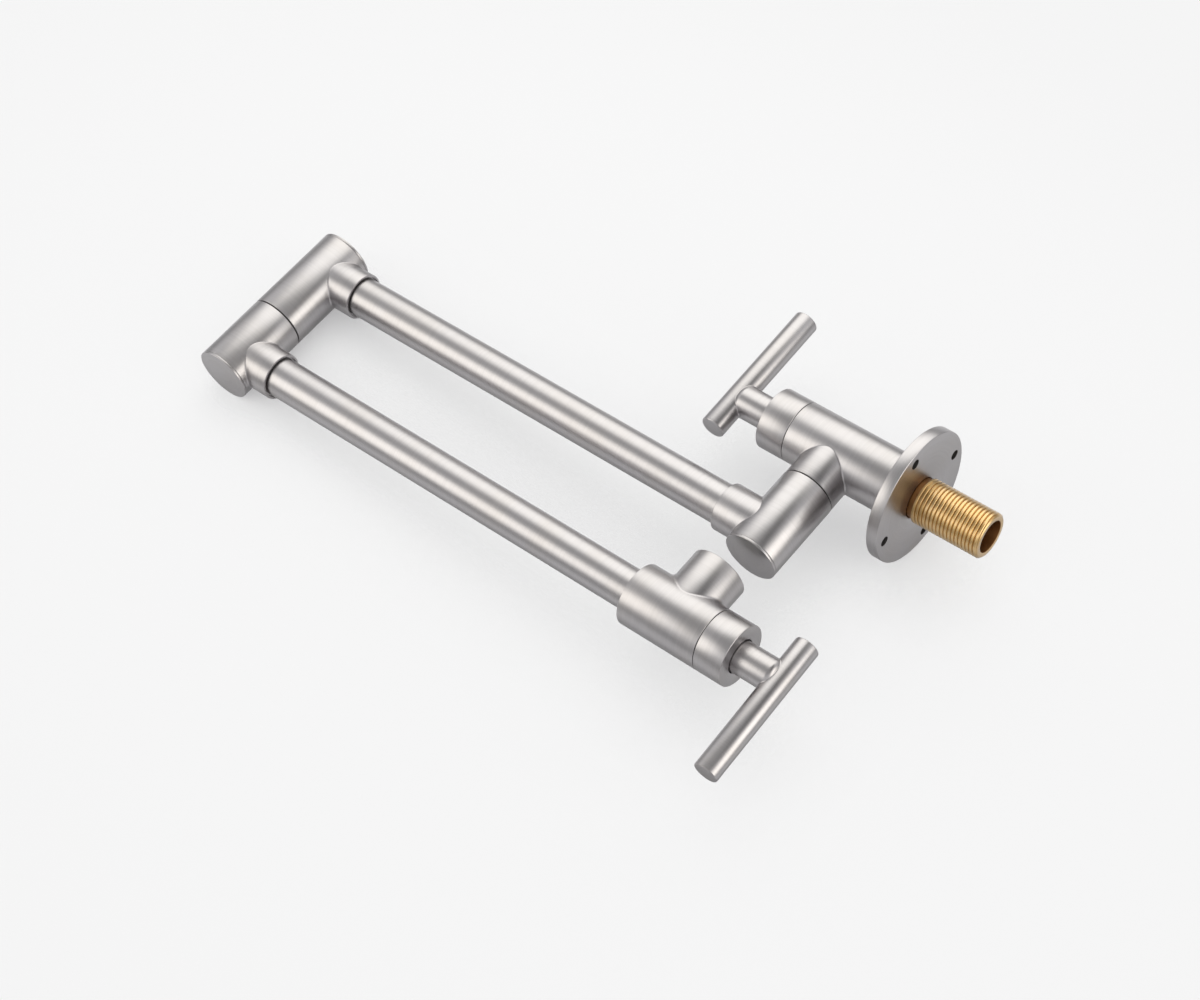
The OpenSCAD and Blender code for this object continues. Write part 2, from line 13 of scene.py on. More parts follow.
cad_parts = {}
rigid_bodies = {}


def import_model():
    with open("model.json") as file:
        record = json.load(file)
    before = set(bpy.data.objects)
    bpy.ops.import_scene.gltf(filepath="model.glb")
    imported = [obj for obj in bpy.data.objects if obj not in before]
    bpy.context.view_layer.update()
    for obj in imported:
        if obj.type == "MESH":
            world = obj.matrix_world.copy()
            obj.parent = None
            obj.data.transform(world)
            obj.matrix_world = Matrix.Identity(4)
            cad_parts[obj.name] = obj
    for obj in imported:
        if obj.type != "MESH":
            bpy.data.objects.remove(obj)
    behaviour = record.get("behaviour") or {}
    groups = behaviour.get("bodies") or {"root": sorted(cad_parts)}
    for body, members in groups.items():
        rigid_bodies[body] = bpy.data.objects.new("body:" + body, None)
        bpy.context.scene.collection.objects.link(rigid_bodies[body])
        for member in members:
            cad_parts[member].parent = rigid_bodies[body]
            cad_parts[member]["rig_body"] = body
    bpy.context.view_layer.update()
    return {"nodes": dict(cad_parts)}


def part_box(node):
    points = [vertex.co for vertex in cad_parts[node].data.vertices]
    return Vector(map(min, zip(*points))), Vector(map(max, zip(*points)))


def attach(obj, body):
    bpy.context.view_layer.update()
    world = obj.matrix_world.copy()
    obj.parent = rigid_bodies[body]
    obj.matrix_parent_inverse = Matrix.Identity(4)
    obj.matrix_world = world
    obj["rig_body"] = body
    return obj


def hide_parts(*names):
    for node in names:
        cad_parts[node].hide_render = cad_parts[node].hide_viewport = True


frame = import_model()
nodes = frame["nodes"]
slots = {name: node.material_slots[0].material.name for name, node in nodes.items()}

MM = 0.001

# Axes, seams and ends along Y
WALL_SWIVEL_Y = -41
ELBOW_Y = -301
OUTLET_Y = -47
INLET_SEAM_Y = -62
SPOUT_SEAM_Y = -28.5

# Heights of the arms and of the swivels' seams
FIRST_ARM_Z = 49
SECOND_ARM_Z = 105
WALL_SWIVEL_SEAM_Z = 23.5
ELBOW_SEAM_Z = 82.5

# Outer radii
FLANGE_R = 31
THREAD_R = 10.4775
VALVE_R = 14.25
TEE_R = 12.6
OUTLET_R = 13
WALL_SWIVEL_R = 12.75
ELBOW_R = 13.5
SOCKET_R = 11.12
STEM_R = 7.5
BAR_R = 5.7

# Bores
NIPPLE_BORE_R = 7.5
CHAMBER_R = 10.2
TUBE_SEAT_R = 9.32
CAP_BORE_R = 10.3
POST_SEAT_R = 7.62


# Camera

def add_camera():
    """The camera stands where the photograph was taken from."""
    data = bpy.data.cameras.new("camera")
    data.sensor_fit = "HORIZONTAL"
    data.sensor_width = 36
    data.lens = 77.108
    data.clip_start = 0.05
    data.clip_end = 50
    camera = bpy.data.objects.new("camera", data)
    bpy.context.scene.collection.objects.link(camera)
    right = Vector((0.132912, 0.767123, -0.627580))
    down = Vector((0.577795, 0.454499, 0.677926))
    ahead = Vector((0.805287, -0.452718, -0.382831))
    turn = Matrix((right, -down, -ahead)).transposed()
    place = Vector((-0.886092, 0.385864, 0.497852))
    camera.matrix_world = Matrix.Translation(place) @ turn.to_4x4()
    bpy.context.scene.camera = camera


add_camera()
bpy.context.scene.view_settings.view_transform = "Standard"


# Shaders

class Value:
    """A socket of a node tree that takes part in sums and products."""

    def __init__(self, shader, socket):
        self.shader = shader
        self.socket = socket

    def maths(self, operation, first, second=0.0):
        return self.shader.node("ShaderNodeMath", {"operation": operation},
                                {0: first, 1: second})

    def __add__(self, other):
        return self.maths("ADD", self, other)

    __radd__ = __add__

    def __sub__(self, other):
        return self.maths("SUBTRACT", self, other)

    def __rsub__(self, other):
        return self.maths("SUBTRACT", other, self)

    def __mul__(self, other):
        return self.maths("MULTIPLY", self, other)

    __rmul__ = __mul__

    def __pow__(self, other):
        return self.maths("POWER", self, other)


class Shader:
    """The node tree of a material, or of the world, filled node by node."""

    def __init__(self, owner):
        owner.use_nodes = True
        self.tree = owner.node_tree
        self.tree.nodes.clear()

    def node(self, kind, settings=None, sockets=None, output=0):
        made = self.tree.nodes.new(kind)
        for name, value in (settings or {}).items():
            if name == "stops":
                set_stops(made.color_ramp, value)
            else:
                setattr(made, name, value)
        for name, value in (sockets or {}).items():
            if isinstance(value, Value):
                self.tree.links.new(value.socket, made.inputs[name])
            else:
                made.inputs[name].default_value = value
        return Value(self, made.outputs[output]) if made.outputs else None

    def split(self, vector):
        made = self.node("ShaderNodeSeparateXYZ", sockets={0: vector})
        return [Value(self, s) for s in made.socket.node.outputs]

    def mix(self, share, first, second, blend="MIX"):
        """A colour made of first and second."""
        first_input, second_input, colour_output = 6, 7, 2
        return self.node("ShaderNodeMix", {"data_type": "RGBA", "blend_type": blend},
                         {0: share, first_input: first, second_input: second},
                         colour_output)

    def smooth(self, value, low, high, start=0.0, end=1.0):
        """start below low, end above high, and a smooth step between them."""
        return self.node("ShaderNodeMapRange", {"interpolation_type": "SMOOTHSTEP"},
                         {0: value, 1: low, 2: high, 3: start, 4: end})

    def size(self, value):
        return self.node("ShaderNodeMath", {"operation": "ABSOLUTE"}, {0: value})

    def noise(self, vector, scale=1.0, detail=2.0):
        return self.node("ShaderNodeTexNoise", sockets={
            "Vector": vector, "Scale": scale, "Detail": detail})


def set_stops(ramp, stops):
    while len(ramp.elements) > 1:
        ramp.elements.remove(ramp.elements[-1])
    ramp.elements[0].position, ramp.elements[0].color = stops[0]
    for position, colour in stops[1:]:
        ramp.elements.new(position).color = colour


def shade(value):
    return (value, value, value, 1)


# Turned metal: the tool marks run round the axis that the piece was turned on

Z_AXIS = (0, 0, 0)
Y_AXIS = (math.radians(90), 0, 0)
MARKS_PER_METRE = 7500
LACQUER_GLOSS = {"Coat Roughness": 0.12, "Coat IOR": 1.8}


def turned_metal(name, colour, warm, roughness, turn, centre, depth, lacquer=0.0):
    """Metal brushed round an axis. turn is the rotation that brings the axis to Z."""
    material = bpy.data.materials.new(name)
    s = Shader(material)
    place = s.node("ShaderNodeTexCoord", output="Object")
    here = s.node("ShaderNodeVectorMath", {"operation": "SUBTRACT"},
                  {0: place, 1: centre})
    local = s.node("ShaderNodeMapping", {"vector_type": "POINT"},
                   {"Vector": here, "Rotation": turn})
    x, y, z = s.split(local)
    out = (x * x + y * y) ** 0.5
    across = (z + out) * MARKS_PER_METRE
    fine = s.noise(s.node("ShaderNodeCombineXYZ",
                          sockets={0: across, 1: x * 90, 2: y * 90}), detail=1.5)
    coarse = s.noise(s.node("ShaderNodeCombineXYZ",
                            sockets={0: across * 0.23, 1: x * 40, 2: y * 40}))
    cloud = s.noise(place, scale=55, detail=3)
    base = s.mix(s.smooth(cloud, 0.35, 0.7), colour, warm)
    tone = s.smooth(coarse, 0.3, 0.7, 0.97, 1.03)
    grey = s.node("ShaderNodeCombineColor", sockets={0: tone, 1: tone, 2: tone})
    base = s.mix(1.0, base, grey, blend="MULTIPLY")
    rough = (fine - 0.5) * 0.06 + (cloud - 0.5) * 0.06 + roughness
    height = fine + coarse * 0.5
    bump = s.node("ShaderNodeBump", sockets={
        "Strength": 1.0, "Distance": depth, "Height": height})
    surface = s.node("ShaderNodeBsdfPrincipled", sockets={
        "Base Color": base, "Metallic": 1.0, "Roughness": rough, "Normal": bump,
        "Coat Weight": lacquer, **LACQUER_GLOSS})
    s.node("ShaderNodeOutputMaterial", sockets={0: surface})
    return material


finishes = {}


def nickel(turn=Y_AXIS, centre=(0, 0, 0)):
    key = ("brushed_nickel", turn, centre)
    if key not in finishes:
        finishes[key] = turned_metal(
            "brushed_nickel", (0.455, 0.440, 0.448, 1), (0.455, 0.436, 0.436, 1),
            0.30, turn, centre, depth=0.020 * MM)
    return finishes[key]


def brass():
    if "nipple_brass" not in finishes:
        finishes["nipple_brass"] = turned_metal(
            "nipple_brass", (0.62, 0.385, 0.125, 1), (0.64, 0.415, 0.15, 1),
            0.33, Y_AXIS, (0, 0, 0), depth=0.008 * MM, lacquer=1.0)
    return finishes["nipple_brass"]


def plain(name, colour, other, roughness, metallic=0.0, grain=900, depth=0.01 * MM):
    """Moulded, pressed or cast surface with a fine even grain."""
    key = (name, colour)
    if key in finishes:
        return finishes[key]
    material = bpy.data.materials.new(name)
    s = Shader(material)
    place = s.node("ShaderNodeTexCoord", output="Object")
    fine = s.noise(place, grain, detail=3)
    cloud = s.noise(place, grain / 12)
    base = s.mix(s.smooth(cloud, 0.3, 0.7), colour, other)
    rough = (fine - 0.5) * 0.15 + (cloud - 0.5) * 0.1 + roughness
    bump = s.node("ShaderNodeBump", sockets={
        "Strength": 1.0, "Distance": depth, "Height": fine})
    surface = s.node("ShaderNodeBsdfPrincipled", sockets={
        "Base Color": base, "Metallic": metallic, "Roughness": rough,
        "Normal": bump})
    s.node("ShaderNodeOutputMaterial", sockets={0: surface})
    finishes[key] = material
    return material


def painted_shade_brass():
    """Brass painted dark brown as shade in the nipple's bore and on its neck by the
    flange.
    """
    return plain("nipple_brass", (0.28, 0.13, 0.045, 1), (0.34, 0.165, 0.06, 1),
                 0.42, metallic=1.0, grain=500)


def painted_shade_hole_metal():
    """Walls of the screw holes, painted near black as the shade inside them."""
    return plain("brushed_nickel", (0.10, 0.095, 0.09, 1), (0.14, 0.13, 0.125, 1),
                 0.5, metallic=1.0)


INNER = {
    "valve_brass": lambda: plain(
        "valve_brass", (0.72, 0.50, 0.22, 1), (0.78, 0.57, 0.29, 1),
        0.32, metallic=1.0, grain=700),
    "white_ceramic": lambda: plain(
        "white_ceramic", (0.84, 0.83, 0.79, 1), (0.87, 0.86, 0.83, 1),
        0.16, grain=1500, depth=0.002 * MM),
    "black_rubber": lambda: plain(
        "black_rubber", (0.012, 0.012, 0.013, 1), (0.022, 0.022, 0.023, 1), 0.62),
    "black_plastic": lambda: plain(
        "black_plastic", (0.018, 0.018, 0.02, 1), (0.028, 0.028, 0.03, 1), 0.42),
    "spring_steel": lambda: plain(
        "spring_steel", (0.50, 0.50, 0.51, 1), (0.56, 0.55, 0.54, 1),
        0.3, metallic=1.0, grain=1200),
    "screen_plastic": lambda: plain(
        "screen_plastic", (0.72, 0.72, 0.70, 1), (0.78, 0.78, 0.76, 1), 0.38),
}


def upright_nickel(y):
    """Nickel turned round an upright axis at y."""
    return nickel(Z_AXIS, (0, y * MM, 0))


def level_nickel(z):
    """Nickel turned round an axis along Y at height z."""
    return nickel(Y_AXIS, (0, 0, z * MM))


def nearest_axis(name):
    """Height of the inlet's axis or of the arm that a piece belongs to."""
    low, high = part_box(name)
    middle = (low.z + high.z) / 2
    if middle < 30 * MM:
        return 0
    return FIRST_ARM_Z if middle < 75 * MM else SECOND_ARM_Z


BARRELS = {
    "wall_swivel_body": WALL_SWIVEL_Y,
    "wall_swivel_cap": WALL_SWIVEL_Y,
    "elbow_lower_body": ELBOW_Y,
    "elbow_lower_cap": ELBOW_Y,
    "elbow_upper_body": ELBOW_Y,
    "elbow_upper_cap": ELBOW_Y,
}

for name, node in nodes.items():
    if slots[name] == "nipple_brass":
        finish = brass()
    elif slots[name] != "brushed_nickel":
        finish = INNER[slots[name]]()
    elif name in BARRELS:
        finish = upright_nickel(BARRELS[name])
    else:
        finish = level_nickel(nearest_axis(name))
    node.material_slots[0].material = finish


# Modelling. Outlines are radius and height in millimetres, as on a lathe.

SIDES = 128
SINK = 0.3
UPRIGHT = Matrix.Identity(4)
UPSIDE_DOWN = Matrix.Rotation(math.pi, 4, "X")
TO_WALL = Matrix.Rotation(math.radians(-90), 4, "X")
TO_ROOM = Matrix.Rotation(math.radians(90), 4, "X")
SIDEWAYS = Matrix.Rotation(math.radians(90), 4, "Y")


def at(x, y, z, laid=UPRIGHT, turn=0.0):
    """A place in the frame, the way a piece is laid there, and its turn in degrees."""
    return (Matrix.Translation(Vector((x, y, z)) * MM) @ laid
            @ Matrix.Rotation(math.radians(turn), 4, "Z"))


def clear_selection():
    bpy.ops.object.select_all(action="DESELECT")


def pick(piece):
    clear_selection()
    piece.select_set(True)
    bpy.context.view_layer.objects.active = piece


def apply(piece, kind, **settings):
    pick(piece)
    modifier = piece.modifiers.new(kind.lower(), kind)
    for name, value in settings.items():
        setattr(modifier, name, value)
    bpy.ops.object.modifier_apply(modifier=modifier.name)


def settle(piece, place):
    """Moves a finished piece to its place, which then is in its mesh."""
    piece.matrix_world = place
    pick(piece)
    bpy.ops.object.transform_apply(location=True, rotation=True, scale=True)
    return piece


def draw(outline):
    """A chain of edges along the outline, in the plane where y is 0."""
    clear_selection()
    bpy.ops.mesh.primitive_plane_add(size=MM, location=(0, 0, 0))
    piece = bpy.context.object
    bpy.ops.object.mode_set(mode="EDIT")
    bpy.ops.mesh.select_all(action="SELECT")
    bpy.ops.mesh.merge(type="CENTER")
    before = (0, 0)
    for number, (r, z) in enumerate(outline):
        step = ((r - before[0]) * MM, 0, (z - before[1]) * MM)
        if number:
            bpy.ops.mesh.extrude_vertices_move(TRANSFORM_OT_translate={"value": step})
        else:
            bpy.ops.transform.translate(value=step)
        before = (r, z)
    bpy.ops.mesh.select_all(action="SELECT")
    bpy.ops.mesh.remove_doubles(threshold=1e-7)
    return piece


def turned(outline, place, finish, soft=0.0, sides=SIDES):
    """Spins the outline round its axis. A ring's outline comes back to its start."""
    piece = draw(outline)
    bpy.ops.mesh.select_all(action="SELECT")
    bpy.ops.mesh.spin(steps=sides, angle=math.tau, center=(0, 0, 0), axis=(0, 0, 1))
    bpy.ops.mesh.select_all(action="SELECT")
    bpy.ops.mesh.remove_doubles(threshold=1e-6)
    bpy.ops.mesh.select_all(action="SELECT")
    bpy.ops.mesh.normals_make_consistent(inside=False)
    bpy.ops.object.mode_set(mode="OBJECT")
    piece.data.materials.append(finish)
    if soft:
        apply(piece, "BEVEL", width=soft * MM, segments=3, limit_method="ANGLE",
              angle_limit=math.radians(40))
    return settle(piece, place)


def rod(radius, low, high, place, finish, soft=0.0):
    """A plain cylinder between two heights."""
    return turned([(0, low), (radius, low), (radius, high), (0, high)],
                  place, finish, soft)


def combine(piece, other, operation):
    apply(piece, "BOOLEAN", object=other, operation=operation, solver="EXACT",
          material_mode="TRANSFER")


def cut(solids, tools):
    """Cuts every tool's room out of every solid."""
    for tool in tools:
        for solid in solids:
            combine(solid, tool, "DIFFERENCE")
        bpy.data.objects.remove(tool)


def join(solids):
    """One piece from solids that are welded together."""
    pick(solids[0])
    for solid in solids[1:]:
        solid.select_set(True)
    bpy.ops.object.join()
    return solids[0]


def fit(piece, name):
    """The finished piece takes a CAD node's place."""
    pick(piece)
    bpy.ops.object.shade_smooth_by_angle(angle=math.radians(28))
    piece.name = piece.data.name = "shaped_" + name
    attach(piece, nodes[name]["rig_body"])
    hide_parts(name)
    return piece


def bead(rings, place, finish):
    """A closed ring of metal, given point by point in millimetres, section by section."""
    clear_selection()
    bpy.ops.mesh.primitive_torus_add(
        major_segments=len(rings), minor_segments=len(rings[0]),
        major_radius=10 * MM, minor_radius=MM)
    piece = bpy.context.object
    points = [point for ring in rings for point in ring]
    for vertex, point in zip(piece.data.vertices, points):
        vertex.co = point * MM
    bpy.ops.object.mode_set(mode="EDIT")
    bpy.ops.mesh.select_all(action="SELECT")
    bpy.ops.mesh.normals_make_consistent(inside=False)
    bpy.ops.object.mode_set(mode="OBJECT")
    piece.data.materials.append(finish)
    return settle(piece, place)


def hollow(ball, radius, first, second, steps=8):
    """Points on a ball's surface from one way out of it to another."""
    span = first.angle(second)
    return [ball + radius / math.sin(span)
            * (first * math.sin((1 - k / steps) * span)
               + second * math.sin(k / steps * span))
            for k in range(steps + 1)]


def weld(main, branch, radius, place, finish):
    """Fillet where a branch, along the place's Z, leaves a tube that lies along its Y."""
    rings = []
    for i in range(SIDES):
        a = math.tau * i / SIDES
        out = Vector((math.cos(a), math.sin(a), 0))
        ball = out * (branch + radius)
        ball.z = math.sqrt((main + radius) ** 2 - ball.x ** 2)
        down = -Vector((ball.x, 0, ball.z)) / (main + radius)
        ring = hollow(ball, radius, -out, down)
        corner = out * (branch - SINK)
        corner.z = math.sqrt((main - SINK) ** 2 - corner.x ** 2)
        rings.append(ring + [ring[-1] + down * SINK, corner, ring[0] - out * SINK])
    return bead(rings, place, finish)


# The nipple, the flange and the inlet valve

THREAD_PITCH = 1.814
THREAD_TURNS = 19
ROOT_R = 9.4
NIPPLE_DEPTH = 17
NIPPLE_REACH = 35.5
NECK_END = 2.6


def shape_nipple(name):
    finish = brass()
    core = turned([(NIPPLE_BORE_R, -NIPPLE_DEPTH), (ROOT_R, -NIPPLE_DEPTH),
                   (ROOT_R, NECK_END), (THREAD_R, NECK_END), (THREAD_R, 3.4),
                   (9.8, 3.9), (9.8, 35.2), (9.5, NIPPLE_REACH),
                   (NIPPLE_BORE_R, NIPPLE_REACH), (NIPPLE_BORE_R, -NIPPLE_DEPTH)],
                  UPRIGHT, finish, soft=0.25)
    ridge = draw([(ROOT_R, -0.9), (9.85, -0.86), (10.38, -0.52), (THREAD_R, -0.42),
                  (THREAD_R, 0.42), (10.38, 0.52), (9.85, 0.86), (ROOT_R, 0.9),
                  (ROOT_R, -0.9)])
    bpy.ops.object.mode_set(mode="OBJECT")
    ridge.data.materials.append(finish)
    apply(ridge, "SCREW", axis="Z", screw_offset=THREAD_PITCH * MM,
          iterations=THREAD_TURNS, steps=96, render_steps=96, use_merge_vertices=False)
    bpy.ops.object.mode_set(mode="EDIT")
    bpy.ops.mesh.select_all(action="SELECT")
    bpy.ops.mesh.fill_holes(sides=0)
    bpy.ops.mesh.select_all(action="SELECT")
    bpy.ops.mesh.normals_make_consistent(inside=False)
    bpy.ops.object.mode_set(mode="OBJECT")
    settle(ridge, at(0, 0, 2.1))
    blank = turned([(0, 3.2), (10.8, 3.2), (10.8, 34.35), (9.6, 35.45), (0, 35.45)],
                   UPRIGHT, finish)
    combine(ridge, blank, "INTERSECT")
    bpy.data.objects.remove(blank)
    nipple = settle(join([core, ridge]), at(0, 0, 0, TO_WALL))
    # Painted shade: the bore and the neck by the flange take the dark brown brass.
    nipple.data.materials.append(painted_shade_brass())
    for face in nipple.data.polygons:
        out = Vector((face.center.x, face.center.z)).length
        if out < 7.6 * MM or face.center.y < 2.5 * MM:
            face.material_index = 1
    return fit(nipple, name)


def shape_flange(name):
    plate = turned([(9.6, 0), (FLANGE_R, 0), (FLANGE_R, -5.5), (12.02, -5.5),
                    (12.02, -2), (9.6, -2), (9.6, 0)],
                   at(0, 0, 0, TO_WALL), level_nickel(0), soft=0.45)
    screw_circle_r, screw_turn, screw_count = 25.5, 3.5, 4
    drills = []
    for number in range(screw_count):
        a = math.radians(screw_turn + 360 / screw_count * number)
        spot = at(screw_circle_r * math.cos(a), 0, -screw_circle_r * math.sin(a), TO_WALL)
        # Painted shade: the walls of the holes are drawn in near black metal.
        drills.append(turned([(0, -6), (2.8, -6), (2.3, -5.2), (2.3, -0.2), (2.6, 1),
                              (0, 1)], spot, painted_shade_hole_metal(), sides=48))
    cut([plate], drills)
    return fit(plate, name)


def shape_inlet_body(name):
    along, upright = level_nickel(0), upright_nickel(WALL_SWIVEL_Y)
    place, tee = at(0, 0, 0, TO_ROOM), at(0, WALL_SWIVEL_Y, 0)
    body = turned([(0, 2), (12, 2), (12, 5.5), (VALVE_R, 5.5), (VALVE_R, 62),
                   (12.4, 62), (12.4, 69), (0, 69)], place, along, soft=0.25)
    stub = rod(TEE_R, 0, WALL_SWIVEL_SEAM_Z, tee, upright, soft=0.25)
    cut([body, stub], [
        turned([(0, 1), (9.42, 1), (9.42, 18.2), (6, 18.2), (6, 33.5),
                (CHAMBER_R, 33.5), (CHAMBER_R, 70), (0, 70)], place, along),
        rod(POST_SEAT_R, 0, 25, tee, upright)])
    fillet = weld(VALVE_R, TEE_R, 0.8, tee, upright)
    return fit(join([body, stub, fillet]), name)


def shape_bonnet(name, place, z):
    ring = turned([(12.5, 0.2), (VALVE_R, 0.2), (VALVE_R, 14), (7.85, 14), (7.85, 9.2),
                   (12.5, 9.2), (12.5, 0.2)], place, level_nickel(z), soft=0.4)
    return fit(ring, name)


# The handles

BAR_OUT = 34
STEM_TOP = 32.8
STEM_ROUND = 3.0
STEM_FILLET = 0.5
INLET_LEVER_TURN = 1.8
SPOUT_LEVER_TURN = 3.8


def round_corner(r, z, radius, steps):
    """Points round an outer corner at the top of an outline, from its side to its end."""
    return [(r - radius + radius * math.cos(math.radians(90 * k / steps)),
             z - radius + radius * math.sin(math.radians(90 * k / steps)))
            for k in range(steps + 1)]


def stem_weld(finish):
    """Fillet round the stem's end, where the bar lies across it. The bar lies along Y."""
    core_r, core_z = STEM_R - STEM_ROUND, STEM_TOP - STEM_ROUND

    def to_stem(point):
        """The way from a point to the stem's middle, and how far its skin is."""
        level = Vector((point.x, point.y, 0))
        far, high = level.length - core_r, max(point.z - core_z, 0)
        away = level.normalized() * far + Vector((0, 0, high))
        return -away.normalized(), away.length - STEM_ROUND

    rings = []
    for i in range(SIDES):
        a = math.tau * i / SIDES
        low, high = 0.0, 12.0
        for _ in range(40):
            s = (low + high) / 2
            x = s * math.cos(a)
            drop = max((BAR_R + STEM_FILLET) ** 2 - x * x, 0.0) ** 0.5
            ball = Vector((x, s * math.sin(a), BAR_OUT - drop))
            if to_stem(ball)[1] > STEM_FILLET:
                high = s
            else:
                low = s
        to_bar = (Vector((0, ball.y, BAR_OUT)) - ball).normalized()
        inward = to_stem(ball)[0]
        ring = hollow(ball, STEM_FILLET, inward, to_bar)
        corner = ((ring[-1] + to_bar + ring[0] + inward) / 2
                  + (to_bar + inward) * 0.4)
        rings.append(ring + [ring[-1] + to_bar * SINK, corner, ring[0] + inward * SINK])
    return bead(rings, UPRIGHT, finish)


def shape_handle(name, place, z, bar_finish):
    """Stem and bar. The place's Z runs out along the stem, the bar's long end along -Y."""
    stem_finish = level_nickel(z)
    stem = turned([(0, 9.9), (STEM_R, 9.9)]
                  + round_corner(STEM_R, STEM_TOP, STEM_ROUND, 14)
                  + [(0, STEM_TOP)], UPRIGHT, stem_finish, soft=0.3)
    bar = rod(BAR_R, -19, 50, at(0, 0, BAR_OUT, TO_ROOM), bar_finish, soft=0.7)
    cut([stem], [rod(4.02, 9, 24.4, UPRIGHT, stem_finish),
                 rod(2.02, 0, 9, at(0, 0, 16.9, SIDEWAYS), stem_finish)])
    handle = join([bar, stem, stem_weld(bar_finish)])
    return fit(settle(handle, place), name)


def bar_nickel(turn, y, z):
    """Nickel turned round a lever's bar, which leans by turn degrees."""
    return nickel((0, math.radians(-turn), 0), (0, y * MM, z * MM))


# The swivels, the spout valve and its outlet

BARREL_JOURNAL = [(0, 0), (9, 0), (9, 12.65), (CAP_BORE_R, 12.65), (CAP_BORE_R, 42),
                  (0, 42)]
POST_JOURNAL = [(0, -48), (CAP_BORE_R, -48), (CAP_BORE_R, -10), (POST_SEAT_R, -10),
                (POST_SEAT_R, 1), (0, 1)]


def shape_swivel_body(name, r, foot, top, seam, arm, laid, y, journal):
    """Barrel of a swivel, from foot to top above its seam, with the socket of an arm."""
    upright, along = upright_nickel(y), level_nickel(arm)
    barrel_place, socket_place = at(0, y, seam), at(0, y, arm, laid)
    barrel = rod(r, foot, top, barrel_place, upright, soft=0.25)
    socket = rod(SOCKET_R, 0, 24, socket_place, along, soft=0.4)
    cut([barrel, socket], [
        turned(journal, barrel_place, upright),
        turned([(0, 0), (7.5, 0), (7.5, 11.6), (TUBE_SEAT_R, 11.6), (TUBE_SEAT_R, 22.5),
                (10.2, 22.5), (10.2, 25), (0, 25)], socket_place, along)])
    fillet = weld(r, SOCKET_R, 0.7, socket_place, along)
    return fit(join([barrel, socket, fillet]), name)


def shape_cap(name, r, y, z, laid=UPRIGHT):
    """Closed end of a barrel. Its flat end is at height z."""
    cap = turned([(0, -4.2), (10.28, -4.2), (10.28, -1.2), (r, -1.2), (r, 0), (0, 0)],
                 at(0, y, z, laid), upright_nickel(y), soft=0.3)
    return fit(cap, name)


def shape_spout_body(name):
    along, upright = level_nickel(SECOND_ARM_Z), upright_nickel(OUTLET_Y)
    place = at(0, SPOUT_SEAM_Y, SECOND_ARM_Z, TO_WALL)
    down = at(0, OUTLET_Y, SECOND_ARM_Z, UPSIDE_DOWN)
    body = turned([(0, -40), (VALVE_R, -40), (VALVE_R, 0), (12.4, 0), (12.4, 7), (0, 7)],
                  place, along, soft=0.4)
    branch = rod(OUTLET_R, 0, 28, down, upright, soft=0.5)
    cut([body, branch], [
        rod(CHAMBER_R, -28.5, 8, place, along),
        rod(6, -31, -27.5, place, along),
        rod(TUBE_SEAT_R, -41, -30, place, along),
        turned([(0, 0), (8, 0), (8, 18.5), (11.02, 18.5), (11.02, 29), (0, 29)],
               down, upright)])
    fillet = weld(VALVE_R, OUTLET_R, 1.9, down, upright)
    return fit(join([body, branch, fillet]), name)


shape_nipple("inlet_nipple")
shape_flange("wall_flange")
shape_inlet_body("inlet_valve_body")
shape_bonnet("inlet_bonnet", at(0, INLET_SEAM_Y, 0, TO_ROOM), 0)
shape_handle("inlet_handle", at(0, INLET_SEAM_Y, 0, TO_ROOM, -INLET_LEVER_TURN), 0,
             bar_nickel(INLET_LEVER_TURN, INLET_SEAM_Y - BAR_OUT, 0))
shape_swivel_body("wall_swivel_body", WALL_SWIVEL_R, 0.65, 39.3, WALL_SWIVEL_SEAM_Z,
                  FIRST_ARM_Z, TO_ROOM, WALL_SWIVEL_Y, BARREL_JOURNAL)
shape_cap("wall_swivel_cap", WALL_SWIVEL_R, WALL_SWIVEL_Y, 64)
shape_swivel_body("elbow_lower_body", ELBOW_R, -46.55, 0, ELBOW_SEAM_Z,
                  FIRST_ARM_Z, TO_WALL, ELBOW_Y, POST_JOURNAL)
shape_cap("elbow_lower_cap", ELBOW_R, ELBOW_Y, 34.75, UPSIDE_DOWN)
shape_swivel_body("elbow_upper_body", ELBOW_R, 0.65, 35.55, ELBOW_SEAM_Z,
                  SECOND_ARM_Z, TO_WALL, ELBOW_Y, BARREL_JOURNAL)
shape_cap("elbow_upper_cap", ELBOW_R, ELBOW_Y, 119.25)
shape_spout_body("spout_valve_body")
shape_bonnet("spout_bonnet", at(0, SPOUT_SEAM_Y, SECOND_ARM_Z, TO_WALL), SECOND_ARM_Z)
shape_handle("spout_handle",
             at(0, SPOUT_SEAM_Y, SECOND_ARM_Z, TO_WALL, SPOUT_LEVER_TURN), SECOND_ARM_Z,
             bar_nickel(SPOUT_LEVER_TURN, SPOUT_SEAM_Y + BAR_OUT, SECOND_ARM_Z))


# Table, room and lamps. The part lies on its side, so the table stands upright here.

UP = Vector((-1, 0.0592, 0)).normalized()
FAR = Vector((0, -0.556, -0.831))
FAR = (FAR - UP * FAR.dot(UP)).normalized()
RIGHT = FAR.cross(UP)
TABLE_POINT = Vector((31.0 * MM, -5.5 * MM, 0))
MIDDLE = Vector((0, -0.14, 0.055))
BACKDROP = 0.913
TABLE_TONE = (0.85, 0.855, 0.885, 1)
SHEER_NEAR = 0.3
SHEER_FAR = 0.9
ROOM_RADIUS = 3.2


def stand(piece, place):
    """Part of the studio: it lights the object, and the camera looks past it."""
    piece.matrix_world = place
    piece.visible_camera = False
    piece.visible_shadow = False


